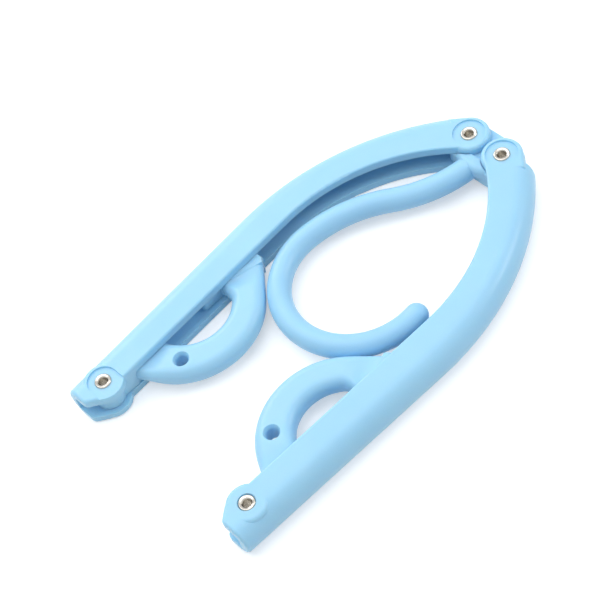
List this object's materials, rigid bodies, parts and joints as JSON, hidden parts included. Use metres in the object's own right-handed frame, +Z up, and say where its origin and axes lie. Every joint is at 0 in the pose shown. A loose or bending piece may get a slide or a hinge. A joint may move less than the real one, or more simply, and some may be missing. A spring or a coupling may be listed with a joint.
{
  "type": "folding travel hanger",
  "caption": "Folding travel clothes hanger: a hub with a C-shaped closet hook, channel arms that swing on rivets, and D-shaped extensions that swing out of the arms.",
  "frame": {"origin": "under the middle of the folded hanger, on the plane that it lies on", "axes": "+Y from the hub to the folded arms' ends, +Z up out of the face seen in the picture"},
  "size_m": [0.1032, 0.176, 0.0142],
  "materials": {
    "plastic": "satin pale sky blue",
    "rivet": "nickel-plated steel"
  },
  "bodies": {
    "hub": {"hook_hub": "plastic"},
    "right_arm": {"right_arm": "plastic", "right_hub_rivet": "rivet", "right_end_rivet": "rivet"},
    "left_arm": {"left_arm": "plastic", "left_hub_rivet": "rivet", "left_end_rivet": "rivet"},
    "right_extension": {"right_extension": "plastic"},
    "left_extension": {"left_extension": "plastic"}
  },
  "joints": [
    {"name": "right_arm_hinge", "type": "hinge", "parent": "hub", "child": "right_arm", "pos_m": [0.00815, -0.08, 0.0071], "axis": [0, 0, -1], "range_deg": [0, 112.5]},
    {"name": "left_arm_hinge", "type": "hinge", "parent": "hub", "child": "left_arm", "pos_m": [-0.00815, -0.08, 0.0071], "axis": [0, 0, 1], "range_deg": [0, 112.5]},
    {"name": "right_extension_hinge", "type": "hinge", "parent": "right_arm", "child": "right_extension", "pos_m": [0.03815, 0.0775, 0.0071], "axis": [0, 0, -1], "range_deg": [0, 180]},
    {"name": "left_extension_hinge", "type": "hinge", "parent": "left_arm", "child": "left_extension", "pos_m": [-0.03815, 0.0775, 0.0071], "axis": [0, 0, 1], "range_deg": [0, 180]}
  ],
  "couplings": [
    {"joint": "right_extension_hinge", "follows": "right_arm_hinge", "ratio": 1.6},
    {"joint": "left_extension_hinge", "follows": "left_arm_hinge", "ratio": 1.6}
  ]
}
